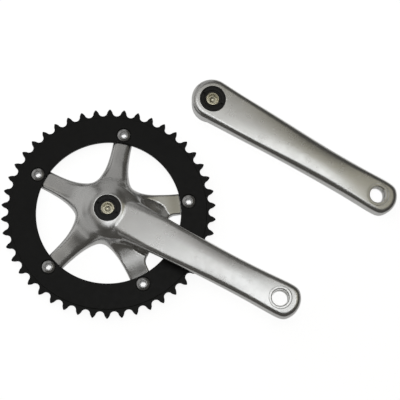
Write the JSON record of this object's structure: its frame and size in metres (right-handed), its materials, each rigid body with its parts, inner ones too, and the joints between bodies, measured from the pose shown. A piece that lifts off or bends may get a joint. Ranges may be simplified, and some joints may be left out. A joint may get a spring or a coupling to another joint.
{
  "type": "bicycle crankset",
  "caption": "Track bicycle crankset: drive arm with spider, bolted chainring and captive crank bolt, and the plain left arm lying beside it.",
  "frame": {"origin": "on the drive side's crank axis, in the plane of the hub boss's back, which is also the bench that both sides lie on", "axes": "+X along the drive arm towards its pedal eye, +Z along the drive side's crank axis, outward"},
  "size_m": [0.3167, 0.2458, 0.0331],
  "materials": {
    "satin_aluminium": "satin, forged and bead blasted",
    "black_anodised": "matt black anodised",
    "polished_alloy": "polished",
    "zinc_steel": "zinc plated",
    "nylon": "matt"
  },
  "bodies": {
    "drive_side": {"right_crank_arm": "satin_aluminium", "chainring": "black_anodised", "chainring_bolt_1": "polished_alloy", "chainring_bolt_2": "polished_alloy", "chainring_bolt_3": "polished_alloy", "chainring_bolt_4": "polished_alloy", "chainring_bolt_5": "polished_alloy", "chainring_nut_1": "polished_alloy", "chainring_nut_2": "polished_alloy", "chainring_nut_3": "polished_alloy", "chainring_nut_4": "polished_alloy", "chainring_nut_5": "polished_alloy", "right_thrust_washer": "nylon", "right_extractor_cap": "black_anodised"},
    "right_washer": {"right_bolt_washer": "zinc_steel"},
    "right_bolt": {"right_crank_bolt": "zinc_steel"},
    "left_side": {"left_crank_arm": "satin_aluminium", "left_thrust_washer": "nylon", "left_extractor_cap": "black_anodised"},
    "left_washer": {"left_bolt_washer": "zinc_steel"},
    "left_bolt": {"left_crank_bolt": "zinc_steel"}
  },
  "joints": [
    {"name": "right_bolt_float", "type": "slide", "parent": "drive_side", "child": "right_washer", "axis": [0, 0, 1], "range_m": [0, 0.001]},
    {"name": "right_bolt_turn", "type": "hinge", "parent": "right_washer", "child": "right_bolt", "pos_m": [0, 0, 0.02], "axis": [0, 0, 1], "continuous": true},
    {"name": "left_arm_lift", "type": "slide", "parent": "drive_side", "child": "left_side", "axis": [0, 0, 1], "range_m": [0, 0.12]},
    {"name": "left_bolt_float", "type": "slide", "parent": "left_side", "child": "left_washer", "axis": [0.1223, -0.0036, 0.9925], "range_m": [0, 0.001]},
    {"name": "left_bolt_turn", "type": "hinge", "parent": "left_washer", "child": "left_bolt", "pos_m": [0.0313, 0.1321, 0.00191], "axis": [0.1223, -0.0036, 0.9925], "continuous": true}
  ]
}
